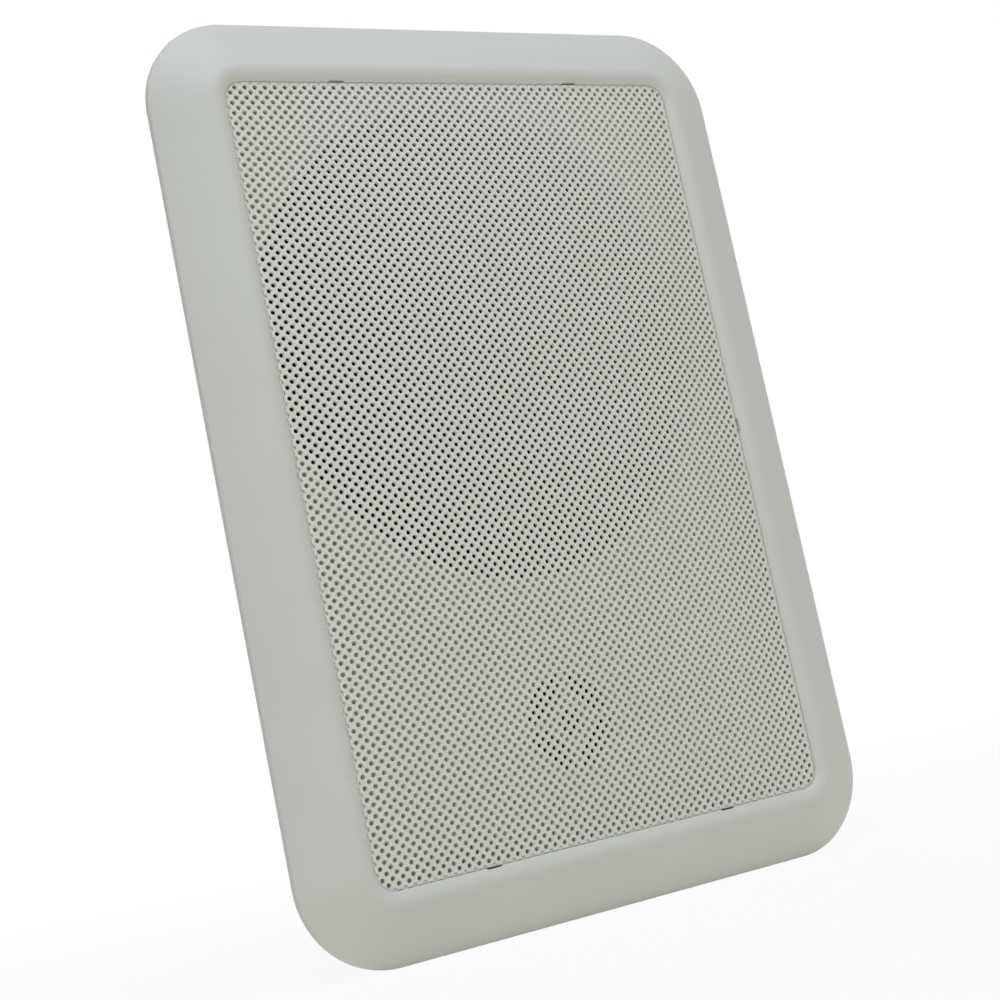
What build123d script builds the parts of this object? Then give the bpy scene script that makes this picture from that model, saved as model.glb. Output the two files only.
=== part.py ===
"""In-wall two-way loudspeaker: frame, perforated grille, woofer, tweeter, crossover, terminals and clamps.

Millimetres. The wall surface is the plane Y = 0, the front of the speaker faces -Y, +Z is up and X runs to
the right as seen from the front. A "depth" is a Y coordinate: negative in front of the wall, positive in it.
"""

import os
from math import sqrt

from build123d import *

# Pocket for the grille, sized by the woofer and the tweeter behind it
woofer_flange_diameter = 170.0
woofer_fit = 0.5
side_margin = 1.5
top_margin = 2.0
tweeter_drop = 49.8
tweeter_to_edge = 39.6

# Frame moulding
bezel_width = 23.4
bezel_height = 11.4
rim_height = 2.0
rim_land = 3.0
rim_edge_radius = 1.2
face_crown = 0.8
roll_width = 5.5
roll_drop = 1.5
moulding_wall = 2.4
skirt_depth = 10.0
baffle_depth = 3.0
baffle_thickness = 3.0
seat_depth = 16.0
seat_thickness = 3.5
rib_thickness = 2.0
rib_height = 5.0
rib_gap = 1.0
bezel_rib_setback = 0.5
bezel_rib_shares = (0.25, 0.75)

# Grille sheet
grille_gap = 0.15
grille_corner_radius = 6.6
grille_sheet = 0.8
grille_crown = 5.2
grille_crown_power = 3
grille_edge_rise = 0.05
grille_section_shares = (-1, -0.8, -0.5, 0, 0.5, 0.8, 1)
grille_fold = 6.0
grille_setback = 1.5
ledge_width = 1.8
ledge_thickness = 2.0
ledge_clearance = 0.2
opening_pitch = 26.0
opening_share = 0.6
opening_margin = 8.0
opening_sides = 6

# Tweeter guard in the baffle
guard_radius = 16.4
guard_diamond = 10.8
guard_spoke = 3.2
guard_eye_radius = 4.6

# Woofer
flange_sheet = 1.6
flange_width = 9.6
throat_clearance = 0.8
lip_width = 8.4
surround_lip = 7.0
surround_sheet = 0.8
surround_roll = 11.0
gasket_width = 8.6
gasket_thickness = 2.0
cone_lip = 5.0
cone_wall = 0.8
cone_depth = 23.6
dust_cap_radius = 24.0
dust_cap_crown = 8.0
coil_radius = 13.2
former_wall = 0.5
winding_wall = 0.8
winding_length = 14.0
former_proud = 4.0
former_tail = 1.0
coil_gap = 0.6
glue_gap = 0.05
neck_to_spider = 4.0
spider_sheet = 0.7
spider_wave = 1.6
spider_waves = 4
spider_lip = 4.0
landing_radius = 46.5
landing_width = 6.5
landing_margin = 2.0
basket_shoulder = 13.0
basket_draft = 2.0
spider_to_plate = 10.4
top_plate_radius = 45.0
top_plate_thickness = 6.0
magnet_radius = 50.0
magnet_bore_radius = 22.0
magnet_thickness = 18.0
yoke_thickness = 6.0
vent_radius = 5.0
basket_windows = 6
window_share = 0.62
window_margin = 2.5
woofer_screw_count = 6
woofer_screw_turn = 30.0
woofer_screw_radius = 2.0
woofer_screw_length = 12.0
woofer_boss_wall = 2.2
tag_strip_width = 26.0
tag_strip_length = 13.0
tag_strip_thickness = 1.6
tag_width = 5.0
tag_thickness = 0.8
tag_length = 9.0
tag_spacing = 14.0
tag_overhang = 5.0
strip_gap = 0.5

# Tweeter
tweeter_pad = 3.0
tweeter_pad_radius = 30.0
tweeter_flange_radius = 28.0
tweeter_flange_thickness = 2.6
tweeter_body_wall = 4.0
tweeter_dome_radius = 12.8
tweeter_dome_crown = 5.0
tweeter_film = 0.5
tweeter_edge_width = 4.4
tweeter_step_depth = 5.2
tweeter_pot_length = 13.0
tweeter_gap_depth = 6.0
tweeter_coil_wall = 0.6
tweeter_flare = 1.4
tweeter_grip = 4.0
pot_fit = 0.3
tweeter_gap_floor = 2.0
tweeter_screw_count = 4
tweeter_screw_turn = 45.0
tweeter_screw_radius = 1.5
tweeter_screw_length = 5.0

# Crossover board and what stands on it
board_width = 44.0
board_thickness = 1.6
board_standoff = 6.0
board_to_tweeter = 4.0
board_rise = 8.0
board_hole_inset = 4.5
standoff_radius = 3.2
board_screw_radius = 1.5
board_screw_length = 6.0
inductor_radius = 11.0
inductor_height = 14.0
inductor_core_radius = 6.0
inductor_flange = 1.4
inductor_bore_radius = 2.6
capacitor_radius = 6.0
capacitor_length = 27.0
resistor_length = 18.0
resistor_side = 8.0
part_margin = 2.0

# Push terminals
terminal_width = 34.0
terminal_height = 28.0
terminal_thickness = 14.0
terminal_wall = 3.0
terminal_ear = 7.0
terminal_ear_thickness = 3.0
terminal_ear_width = 10.0
terminal_screw_radius = 1.5
terminal_screw_length = 5.4
lever_pocket_depth = 9.0
lever_height = 16.0
lever_thickness = 3.0
lever_play = 0.4
lever_pin_radius = 1.0
lever_pin_reach = 1.2
lever_pin_play = 0.1
lever_pin_inset = 2.2
lever_ridge_height = 3.6
lever_ridge_rise = 2.5
lever_ridge_inset = 1.5
wire_hole_radius = 1.6
wire_hole_depth = 8.0
contact_width = 4.0
contact_thickness = 0.8
contact_length = 8.0

# Wall clamps: screw, arm and tower, six alike
clamp_inset = 4.0
clamp_spacing = 92.6
clamp_screw_radius = 2.0
clamp_screw_play = 0.1
clamp_head_radius = 3.5
clamp_head_height = 2.4
clamp_head_clearance = 0.6
drive_width = 1.1
drive_length = 4.4
drive_depth = 1.4
clamp_travel = 18.0
arm_clearance = 0.5
arm_hub_radius = 4.6
arm_thickness = 6.0
arm_length = 25.0
arm_grip_width = 2.5
arm_grip_gap = 0.8
arm_grip_reach = 8.0
tower_gap = 0.6
tower_width = 12.0
tower_boss_height = 4.0
screw_overrun = 3.0
notch_mouth = 6.2
notch_root = 4.6
notch_cut = 0.5
notch_floor_depth = -1.0

# Screw heads and holes
head_ratio = 1.8
head_height = 2.0
pilot_play = 0.05
pilot_run = 0.2
boss_floor = 1.0
hole_play = 0.3

# Worked-out sizes and places
well_radius = woofer_flange_diameter / 2 + woofer_fit
pocket_width = 2 * (well_radius + side_margin)
pocket_height = top_margin + 2 * well_radius + tweeter_drop + tweeter_to_edge
pocket_corner = grille_corner_radius + grille_gap
grille_width = pocket_width - 2 * grille_gap
grille_height = pocket_height - 2 * grille_gap
woofer_z = pocket_height / 2 - top_margin - well_radius
tweeter_z = woofer_z - well_radius - tweeter_drop
woofer_axis = Axis((0, 0, woofer_z), (0, 1, 0))
tweeter_axis = Axis((0, 0, tweeter_z), (0, 1, 0))
well_rear = seat_depth + seat_thickness
baffle_rear = baffle_depth + baffle_thickness
grille_edge_depth = grille_setback - bezel_height
grille_back_depth = grille_edge_depth + grille_sheet
opening_radius = opening_share * opening_pitch / sqrt(8)
ledge_depth = grille_edge_depth + grille_fold + ledge_clearance
arm_front_limit = well_rear + arm_clearance
arm_front = arm_front_limit + clamp_travel
cap_depth = arm_front + arm_thickness + tower_gap
cap_rear = cap_depth + moulding_wall
screw_tip_depth = cap_rear + screw_overrun
tower_face = arm_hub_radius + tower_gap
grip_inner = arm_hub_radius + arm_grip_gap
grip_outer = grip_inner + arm_grip_width
clamp_x = pocket_width / 2 - clamp_inset
clamp_z = pocket_height / 2 - clamp_inset
clamps = {
    "upper_left": (-clamp_spacing / 2, clamp_z, (0, 0, 1)),
    "upper_right": (clamp_spacing / 2, clamp_z, (0, 0, 1)),
    "left": (-clamp_x, 0, (-1, 0, 0)),
    "right": (clamp_x, 0, (1, 0, 0)),
    "lower_left": (-clamp_spacing / 2, -clamp_z, (0, 0, -1)),
    "lower_right": (clamp_spacing / 2, -clamp_z, (0, 0, -1)),
}

flange_radius = woofer_flange_diameter / 2
flange_front = seat_depth - flange_sheet
throat_radius = flange_radius - flange_width
lip_radius = throat_radius - lip_width
roll_centre = lip_radius - surround_roll / 2
cone_rim_radius = lip_radius - surround_roll
cone_edge_radius = cone_rim_radius - cone_lip
cone_neck_depth = flange_front + cone_depth
cone_neck_radius = coil_radius + glue_gap
cone_slope = cone_depth / (cone_edge_radius - cone_neck_radius)
spider_depth = cone_neck_depth + cone_wall + neck_to_spider
landing_depth = spider_depth + spider_sheet
landing_rear = landing_depth + flange_sheet
landing_outer = landing_radius + landing_width
shoulder_depth = flange_front + basket_shoulder
plate_depth = spider_depth + spider_sheet + spider_to_plate
magnet_depth = plate_depth + top_plate_thickness
yoke_depth = magnet_depth + magnet_thickness
yoke_rear = yoke_depth + yoke_thickness
winding_depth = plate_depth + top_plate_thickness / 2 - winding_length / 2
pole_radius = coil_radius - former_wall - coil_gap
plate_bore_radius = coil_radius + glue_gap + winding_wall + coil_gap
woofer_screw_circle = (flange_radius + throat_radius) / 2
woofer_pilot_end = flange_front + woofer_screw_length + pilot_run
roll_reach = sqrt((surround_roll / 2 + surround_sheet) ** 2 - surround_sheet**2)
cap_rear_depth = flange_front + cone_slope * (cone_edge_radius - dust_cap_radius)
cap_seat_depth = cap_rear_depth - cone_wall
window_radius = (throat_radius - basket_draft + landing_outer) / 2
window_width = throat_radius - basket_draft - landing_outer - 2 * window_margin
window_angle = window_share * 360 / basket_windows
strip_z = woofer_z - landing_radius - flange_sheet - strip_gap

tweeter_seat = baffle_rear + tweeter_pad
tweeter_step = tweeter_seat + tweeter_step_depth
tweeter_edge_radius = tweeter_dome_radius + tweeter_edge_width
tweeter_mouth_radius = tweeter_edge_radius - tweeter_edge_width / 4
tweeter_pot_front = tweeter_step + tweeter_film
tweeter_pot_rear = tweeter_pot_front + tweeter_pot_length
tweeter_body_radius = tweeter_edge_radius + pot_fit + tweeter_body_wall
tweeter_screw_circle = (tweeter_flange_radius + tweeter_body_radius) / 2
tweeter_flange_rear = tweeter_seat + tweeter_flange_thickness

board_rows = 2 * capacitor_radius + part_margin + max(resistor_length, 2 * inductor_radius)
board_height = board_rows + 4 * board_hole_inset
board_x = -(tweeter_pad_radius + board_to_tweeter + board_width / 2)
board_z = tweeter_z + board_rise
board_front = baffle_rear + board_standoff
board_rear = board_front + board_thickness
capacitor_z = board_z - board_height / 2 + 2 * board_hole_inset + capacitor_radius
inductor_x = board_x - part_margin * 2
inductor_z = capacitor_z + capacitor_radius + part_margin + inductor_radius
resistor_x = inductor_x + inductor_radius + part_margin + resistor_side / 2
resistor_z = capacitor_z + capacitor_radius + part_margin + resistor_length / 2
rib_x = tweeter_pad_radius + rib_gap + rib_thickness / 2
rib_length = woofer_z + pocket_height / 2 - sqrt(well_radius**2 - rib_x**2)
terminal_x = -board_x
terminal_z = board_z
terminal_rear = baffle_rear + terminal_thickness
lever_width = (terminal_width - 3 * terminal_wall) / 2 - 2 * lever_play
lever_offset = (terminal_width - terminal_wall) / 4
lever_z = terminal_z + terminal_height / 2 - terminal_wall - lever_play - lever_height / 2
lever_pin_depth = terminal_rear - lever_thickness / 2
lever_pin_z = lever_z + lever_height / 2 - lever_pin_inset
lever_pin_span = lever_offset + lever_width / 2 + lever_play + lever_pin_reach + lever_pin_play
wire_hole_z = (terminal_z - terminal_height / 2 + lever_z - lever_height / 2 - lever_play) / 2


def front_plane(depth):
    """Plane parallel to the wall at a depth, looking out of the front: local x is X, local y is Z."""
    return Plane.XZ.offset(-depth)


def clamp_plane(place, depth):
    """Plane on a clamp screw's axis: local x points to the wall board, local y along the folded arm."""
    x, z, outward = place
    return Plane(origin=(x, depth, z), x_dir=outward, z_dir=(0, -1, 0))


def dome_points(radius, crown, depth):
    """Start, middle and end of a dome's half section, from the apex on the axis to the rim at a depth."""
    ball = (radius**2 + crown**2) / (2 * crown)
    middle = depth - crown + ball - sqrt(ball**2 - radius**2 / 4)
    return (0, depth - crown), (radius / 2, middle), (radius, depth)


os.makedirs("parts", exist_ok=True)

# Frame: bezel, pocket wall and skirt are one section carried round a quarter of the pocket
inner = pocket_width / 2
outer = inner + bezel_width
face_start = Vector(outer, -rim_height)
face_end = Vector(inner + roll_width, -bezel_height)
roll_foot = Vector(inner, roll_drop - bezel_height)
crown_point = (face_start + face_end) / 2 - Vector(0, face_crown)
face_drop = (bezel_height - rim_height) / (bezel_width - roll_width)
under_shift = moulding_wall * sqrt(1 + face_drop**2)
land_depth = under_shift - rim_height - face_drop * rim_land
roof_depth = under_shift - bezel_height
hollow_depth = roll_drop - bezel_height + moulding_wall
rib_section = [
    (moulding_wall / 2, hollow_depth - moulding_wall / 2),
    (roll_width, roof_depth - moulding_wall / 2),
    (bezel_width - rim_land / 2, land_depth - moulding_wall / 2),
    (bezel_width - rim_land / 2, -bezel_rib_setback),
    (moulding_wall / 2, -bezel_rib_setback),
]

with BuildLine(Plane.XZ) as pocket_path:
    FilletPolyline(
        (inner, 0),
        (inner, pocket_height / 2),
        (0, pocket_height / 2),
        radius=pocket_corner,
    )

with BuildPart() as frame:
    with BuildSketch(Plane.XY):
        with BuildLine():
            Line((outer, 0), face_start)
            face = ThreePointArc(face_start, crown_point, face_end)
            TangentArc(face_end, roll_foot, tangent=face % 1)
            Polyline(
                roll_foot,
                (inner, ledge_depth),
                (inner - ledge_width, ledge_depth),
                (inner - ledge_width, ledge_depth + ledge_thickness),
                (inner, ledge_depth + ledge_thickness),
                (inner, skirt_depth),
                (inner + moulding_wall, skirt_depth),
                (inner + moulding_wall, hollow_depth),
                (inner + roll_width, roof_depth),
                (outer - rim_land, land_depth),
                (outer - rim_land, 0),
                (outer, 0),
            )
        make_face()
        fillet(vertices().sort_by_distance(face_start)[0], rim_edge_radius)
    sweep(path=pocket_path.wire())

    # Ribs in the hollow behind the bezel
    for share in bezel_rib_shares:
        with BuildSketch(Plane.XY.offset(share * pocket_height / 2)):
            with Locations((inner, 0)):
                Polygon(*rib_section, align=None)
        extrude(amount=rib_thickness / 2, both=True)
        with BuildSketch(Plane.YZ.offset(share * pocket_width / 2)):
            with Locations((0, pocket_height / 2)):
                Polygon(*[(depth, run) for run, depth in rib_section], align=None)
        extrude(amount=rib_thickness / 2, both=True)
    mirror(about=Plane.YZ)
    mirror(about=Plane.XY)

    # Baffle across the pocket, with the woofer's well and the seat at its foot
    with BuildSketch(front_plane(baffle_depth)):
        RectangleRounded(pocket_width + moulding_wall, pocket_height + moulding_wall, pocket_corner)
        with Locations((0, woofer_z)):
            Circle(well_radius, mode=Mode.SUBTRACT)
    extrude(amount=-baffle_thickness)
    with BuildSketch(front_plane(baffle_depth)):
        with Locations((0, woofer_z)):
            Circle(well_radius + moulding_wall)
            Circle(well_radius, mode=Mode.SUBTRACT)
    extrude(amount=baffle_depth - well_rear)
    with BuildSketch(front_plane(seat_depth)):
        with Locations((0, woofer_z)):
            Circle(well_radius + moulding_wall / 2)
            Circle(throat_radius + throat_clearance, mode=Mode.SUBTRACT)
    extrude(amount=-seat_thickness)
    with BuildSketch(front_plane(seat_depth + seat_thickness / 2)):
        with Locations((0, woofer_z)):
            with PolarLocations(woofer_screw_circle, woofer_screw_count, woofer_screw_turn):
                Circle(woofer_screw_radius + woofer_boss_wall)
    extrude(amount=seat_depth + seat_thickness / 2 - woofer_pilot_end - boss_floor)
    with BuildSketch(front_plane(seat_depth)):
        with Locations((0, woofer_z)):
            with PolarLocations(woofer_screw_circle, woofer_screw_count, woofer_screw_turn):
                Circle(woofer_screw_radius + pilot_play)
    extrude(amount=seat_depth - woofer_pilot_end, mode=Mode.SUBTRACT)

    # Tweeter guard: an eye in a diamond held by four spokes, and the pad behind it
    with BuildSketch(front_plane(baffle_rear)):
        with Locations((0, tweeter_z)):
            Circle(tweeter_pad_radius)
            Circle(guard_radius + hole_play, mode=Mode.SUBTRACT)
            with PolarLocations(tweeter_screw_circle, tweeter_screw_count, tweeter_screw_turn):
                Circle(tweeter_screw_radius + pilot_play, mode=Mode.SUBTRACT)
    extrude(amount=-tweeter_pad)
    with BuildSketch(front_plane(baffle_depth)):
        with Locations((0, tweeter_z)):
            Circle(guard_radius)
            Rectangle(guard_diamond * sqrt(2), guard_diamond * sqrt(2), rotation=45, mode=Mode.SUBTRACT)
            Rectangle(2 * guard_radius, guard_spoke, mode=Mode.SUBTRACT)
            Rectangle(guard_spoke, 2 * guard_radius, mode=Mode.SUBTRACT)
            Circle(guard_eye_radius)
    extrude(amount=-baffle_thickness, mode=Mode.SUBTRACT)

    # Ribs, board posts and blind screw holes behind the baffle
    with BuildSketch(front_plane(baffle_rear)):
        with Locations((0, -pocket_height / 2)):
            with GridLocations(2 * rib_x, 0, 2, 1):
                Rectangle(rib_thickness, rib_length, align=(Align.CENTER, Align.MIN))
    extrude(amount=-rib_height)
    with BuildSketch(front_plane(baffle_rear)):
        with Locations((board_x, board_z)):
            with GridLocations(board_width - 2 * board_hole_inset, board_height - 2 * board_hole_inset, 2, 2):
                Circle(standoff_radius)
                Circle(board_screw_radius + pilot_play, mode=Mode.SUBTRACT)
    extrude(amount=-board_standoff)
    with BuildSketch(front_plane(baffle_rear)):
        with Locations((terminal_x, terminal_z)):
            with GridLocations(0, terminal_height + terminal_ear, 1, 2):
                Circle(terminal_screw_radius + pilot_play)
    extrude(amount=terminal_screw_length - terminal_ear_thickness + pilot_play, mode=Mode.SUBTRACT)

    # Clamp towers: boss, guide rib and cap for each screw, its hole, room for its head and a notch beside it
    for place in clamps.values():
        with BuildSketch(clamp_plane(place, baffle_rear)):
            Circle(arm_hub_radius)
        extrude(amount=-tower_boss_height)
        with BuildSketch(clamp_plane(place, baffle_rear)):
            with Locations((-tower_face, 0)):
                Rectangle(moulding_wall, tower_width, align=(Align.MAX, Align.CENTER))
        extrude(amount=baffle_rear - cap_rear)
        with BuildSketch(clamp_plane(place, cap_depth)):
            with Locations((-tower_face - moulding_wall / 2, 0)):
                Rectangle(tower_face + arm_hub_radius, tower_width, align=(Align.MIN, Align.CENTER))
        extrude(amount=-moulding_wall)
        with BuildSketch(clamp_plane(place, baffle_depth)):
            Circle(clamp_screw_radius + clamp_screw_play)
        extrude(amount=baffle_depth - screw_tip_depth, mode=Mode.SUBTRACT)
        with BuildSketch(clamp_plane(place, baffle_depth)):
            Circle(clamp_head_radius + clamp_head_clearance)
        extrude(amount=baffle_depth + bezel_height, mode=Mode.SUBTRACT)
        with BuildSketch(clamp_plane(place, notch_floor_depth)):
            with BuildLine():
                Polyline(
                    (clamp_inset, notch_mouth / 2),
                    (clamp_inset, -notch_mouth / 2),
                    (clamp_inset + notch_cut, -notch_root / 2),
                    (clamp_inset + notch_cut, notch_root / 2),
                    close=True,
                )
            make_face()
        extrude(amount=notch_floor_depth + bezel_height, mode=Mode.SUBTRACT)

    # Well cleared of tower corners in front of the seat
    with BuildSketch(front_plane(seat_depth)):
        with Locations((0, woofer_z)):
            Circle(well_radius)
    extrude(amount=seat_depth - baffle_depth, mode=Mode.SUBTRACT)
frame.part.label = "frame"
export_step(frame.part, "parts/frame.step")

# Grille: a crowned sheet with its edge folded back and staggered openings
columns = int((grille_width - 2 * opening_margin) // opening_pitch)
rows = int((grille_height - 2 * opening_margin) // opening_pitch)

with BuildPart() as grille:
    for share in grille_section_shares:
        rise = grille_edge_rise + grille_crown * (1 - abs(share) ** grille_crown_power)
        face = []
        for level in grille_section_shares:
            swell = 1 - abs(level) ** grille_crown_power
            face.append((grille_edge_depth - rise * swell, level * grille_height / 2))
        back = [(depth + grille_sheet, height) for depth, height in face]
        with BuildSketch(Plane.YZ.offset(share * grille_width / 2)):
            with BuildLine():
                Spline(*face)
                Line(face[-1], back[-1])
                Spline(*back)
                Line(back[0], face[0])
            make_face()
    loft()
    with BuildSketch(front_plane(grille_back_depth)):
        RectangleRounded(grille_width, grille_height, grille_corner_radius)
    extrude(amount=2 * (grille_crown + grille_sheet), mode=Mode.INTERSECT)
    with BuildSketch(front_plane(grille_edge_depth + grille_sheet / 2)):
        RectangleRounded(grille_width, grille_height, grille_corner_radius)
        offset(amount=-grille_sheet, mode=Mode.SUBTRACT)
    extrude(amount=grille_sheet / 2 - grille_fold)
    with BuildSketch(front_plane(grille_back_depth)):
        with GridLocations(opening_pitch, opening_pitch, columns, rows):
            RegularPolygon(opening_radius, opening_sides)
        with GridLocations(opening_pitch, opening_pitch, columns - 1, rows - 1):
            RegularPolygon(opening_radius, opening_sides)
    extrude(amount=2 * (grille_crown + grille_sheet), mode=Mode.SUBTRACT)
grille.part.label = "grille"
export_step(grille.part, "parts/grille.step")

# Woofer: basket, moving parts and motor are turned about one axis
window_arc = CenterArc((0, 0), window_radius, -window_angle / 2, window_angle)

with BuildPart() as woofer_basket:
    with BuildSketch(Plane.XY.offset(woofer_z)):
        with BuildLine():
            Polyline(
                (lip_radius, flange_front),
                (flange_radius, flange_front),
                (flange_radius, seat_depth),
                (throat_radius, seat_depth),
                (throat_radius - basket_draft, shoulder_depth),
                (landing_outer, landing_rear),
                (landing_radius + flange_sheet, landing_rear),
                (top_plate_radius + flange_sheet, plate_depth),
                (magnet_bore_radius, plate_depth),
                (magnet_bore_radius, plate_depth - flange_sheet),
                (top_plate_radius, plate_depth - flange_sheet),
                (landing_radius, landing_depth),
                (landing_outer - flange_sheet, landing_depth),
                (throat_radius - basket_draft - flange_sheet, shoulder_depth),
                (throat_radius - flange_sheet, seat_depth),
                (lip_radius, seat_depth),
                close=True,
            )
        make_face()
    revolve(axis=woofer_axis)
    with BuildSketch(front_plane(shoulder_depth)):
        with Locations((0, woofer_z)):
            with PolarLocations(0, basket_windows):
                SlotArc(window_arc, window_width)
    extrude(amount=shoulder_depth - landing_rear, mode=Mode.SUBTRACT)
    with BuildSketch(front_plane(flange_front)):
        with Locations((0, woofer_z)):
            with PolarLocations(woofer_screw_circle, woofer_screw_count, woofer_screw_turn):
                Circle(woofer_screw_radius + hole_play)
    extrude(amount=-flange_sheet, mode=Mode.SUBTRACT)
woofer_basket.part.label = "woofer_basket"
export_step(woofer_basket.part, "parts/woofer_basket.step")

with BuildPart() as surround:
    with BuildSketch(Plane.XY.offset(woofer_z)):
        with BuildLine():
            Polyline(
                (roll_centre + roll_reach, flange_front - surround_sheet),
                (lip_radius + surround_lip, flange_front - surround_sheet),
                (lip_radius + surround_lip, flange_front),
                (lip_radius, flange_front),
            )
            ThreePointArc(
                (lip_radius, flange_front),
                (roll_centre, flange_front - surround_roll / 2),
                (cone_rim_radius, flange_front),
            )
            Polyline(
                (cone_rim_radius, flange_front),
                (cone_edge_radius, flange_front),
                (cone_edge_radius, flange_front - surround_sheet),
                (roll_centre - roll_reach, flange_front - surround_sheet),
            )
            ThreePointArc(
                (roll_centre - roll_reach, flange_front - surround_sheet),
                (roll_centre, flange_front - surround_roll / 2 - surround_sheet),
                (roll_centre + roll_reach, flange_front - surround_sheet),
            )
        make_face()
    revolve(axis=woofer_axis)
surround.part.label = "surround"
export_step(surround.part, "parts/surround.step")

with BuildPart() as woofer_gasket:
    with BuildSketch(Plane.XY.offset(woofer_z)):
        with BuildLine():
            Polyline(
                (roll_centre + roll_reach + hole_play, flange_front - surround_sheet),
                (roll_centre + roll_reach + hole_play, flange_front - surround_sheet - gasket_thickness),
                (lip_radius + gasket_width, flange_front - surround_sheet - gasket_thickness),
                (lip_radius + gasket_width, flange_front),
                (lip_radius + surround_lip + glue_gap, flange_front),
                (lip_radius + surround_lip + glue_gap, flange_front - surround_sheet),
                close=True,
            )
        make_face()
    revolve(axis=woofer_axis)
woofer_gasket.part.label = "woofer_gasket"
export_step(woofer_gasket.part, "parts/woofer_gasket.step")

with BuildPart() as cone:
    with BuildSketch(Plane.XY.offset(woofer_z)):
        with BuildLine():
            Polyline(
                (cone_rim_radius, flange_front),
                (cone_edge_radius, flange_front),
                (cone_neck_radius, cone_neck_depth),
                (cone_neck_radius, cone_neck_depth + cone_wall),
                (cone_neck_radius + cone_wall, cone_neck_depth + cone_wall),
                (cone_edge_radius + cone_wall / 2, flange_front + cone_wall),
                (cone_rim_radius, flange_front + cone_wall),
                close=True,
            )
        make_face()
    revolve(axis=woofer_axis)
cone.part.label = "cone"
export_step(cone.part, "parts/cone.step")

with BuildPart() as dust_cap:
    with BuildSketch(Plane.XY.offset(woofer_z)):
        with BuildLine():
            ThreePointArc(*dome_points(dust_cap_radius, dust_cap_crown, cap_seat_depth))
            Line((dust_cap_radius, cap_seat_depth), (dust_cap_radius, cap_rear_depth))
            ThreePointArc(*dome_points(dust_cap_radius, dust_cap_crown, cap_rear_depth))
            Line((0, cap_rear_depth - dust_cap_crown), (0, cap_seat_depth - dust_cap_crown))
        make_face()
    revolve(axis=woofer_axis)
dust_cap.part.label = "dust_cap"
export_step(dust_cap.part, "parts/dust_cap.step")

with BuildPart() as voice_coil_former:
    with BuildSketch(front_plane(cone_neck_depth - former_proud)):
        with Locations((0, woofer_z)):
            Circle(coil_radius)
            Circle(coil_radius - former_wall, mode=Mode.SUBTRACT)
    extrude(amount=cone_neck_depth - former_proud - winding_depth - winding_length - former_tail)
voice_coil_former.part.label = "voice_coil_former"
export_step(voice_coil_former.part, "parts/voice_coil_former.step")

with BuildPart() as voice_coil:
    with BuildSketch(front_plane(winding_depth)):
        with Locations((0, woofer_z)):
            Circle(coil_radius + glue_gap + winding_wall)
            Circle(coil_radius + glue_gap, mode=Mode.SUBTRACT)
    extrude(amount=-winding_length)
voice_coil.part.label = "voice_coil"
export_step(voice_coil.part, "parts/voice_coil.step")

# Spider: zigzag between a lip on the former and a lip on the basket's landing
wave_start = coil_radius + glue_gap + spider_lip
wave_run = (landing_radius - wave_start) / (2 * spider_waves)
wave_front = []
for fold in range(2 * spider_waves + 1):
    wave_front.append((wave_start + fold * wave_run, spider_depth - spider_wave * (fold % 2)))
wave_rear = [(radius, depth + spider_sheet) for radius, depth in reversed(wave_front)]

with BuildPart() as spider:
    with BuildSketch(Plane.XY.offset(woofer_z)):
        with BuildLine():
            Polyline(
                (coil_radius + glue_gap, spider_depth),
                *wave_front,
                (landing_outer - landing_margin, spider_depth),
                (landing_outer - landing_margin, landing_depth),
                *wave_rear,
                (coil_radius + glue_gap, landing_depth),
                close=True,
            )
        make_face()
    revolve(axis=woofer_axis)
spider.part.label = "spider"
export_step(spider.part, "parts/spider.step")

with BuildPart() as top_plate:
    with BuildSketch(front_plane(plate_depth)):
        with Locations((0, woofer_z)):
            Circle(top_plate_radius)
            Circle(plate_bore_radius, mode=Mode.SUBTRACT)
    extrude(amount=-top_plate_thickness)
top_plate.part.label = "top_plate"
export_step(top_plate.part, "parts/top_plate.step")

with BuildPart() as magnet:
    with BuildSketch(front_plane(magnet_depth)):
        with Locations((0, woofer_z)):
            Circle(magnet_radius)
            Circle(magnet_bore_radius, mode=Mode.SUBTRACT)
    extrude(amount=-magnet_thickness)
magnet.part.label = "magnet"
export_step(magnet.part, "parts/magnet.step")

with BuildPart() as pole_yoke:
    with BuildSketch(front_plane(yoke_depth)):
        with Locations((0, woofer_z)):
            Circle(top_plate_radius)
    extrude(amount=-yoke_thickness)
    with BuildSketch(front_plane(plate_depth)):
        with Locations((0, woofer_z)):
            Circle(pole_radius)
    extrude(amount=plate_depth - yoke_depth)
    with BuildSketch(front_plane(plate_depth)):
        with Locations((0, woofer_z)):
            Circle(vent_radius)
    extrude(amount=plate_depth - yoke_rear, mode=Mode.SUBTRACT)
pole_yoke.part.label = "pole_yoke"
export_step(pole_yoke.part, "parts/pole_yoke.step")

with BuildPart() as woofer_tag_strip:
    with BuildSketch(front_plane(landing_rear)):
        with Locations((0, strip_z)):
            Rectangle(tag_strip_width, tag_strip_length, align=(Align.CENTER, Align.MAX))
    extrude(amount=-tag_strip_thickness)
woofer_tag_strip.part.label = "woofer_tag_strip"
export_step(woofer_tag_strip.part, "parts/woofer_tag_strip.step")

with BuildPart() as woofer_tags:
    with BuildSketch(front_plane(landing_rear + tag_strip_thickness)):
        with Locations((0, strip_z - tag_strip_length / 2)):
            with GridLocations(tag_spacing, 0, 2, 1):
                Rectangle(tag_width, tag_strip_length / 2 + tag_overhang, align=(Align.CENTER, Align.MAX))
    extrude(amount=-tag_thickness)
woofer_tags.part.label = "woofer_tags"
export_step(woofer_tags.part, "parts/woofer_tags.step")

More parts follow.
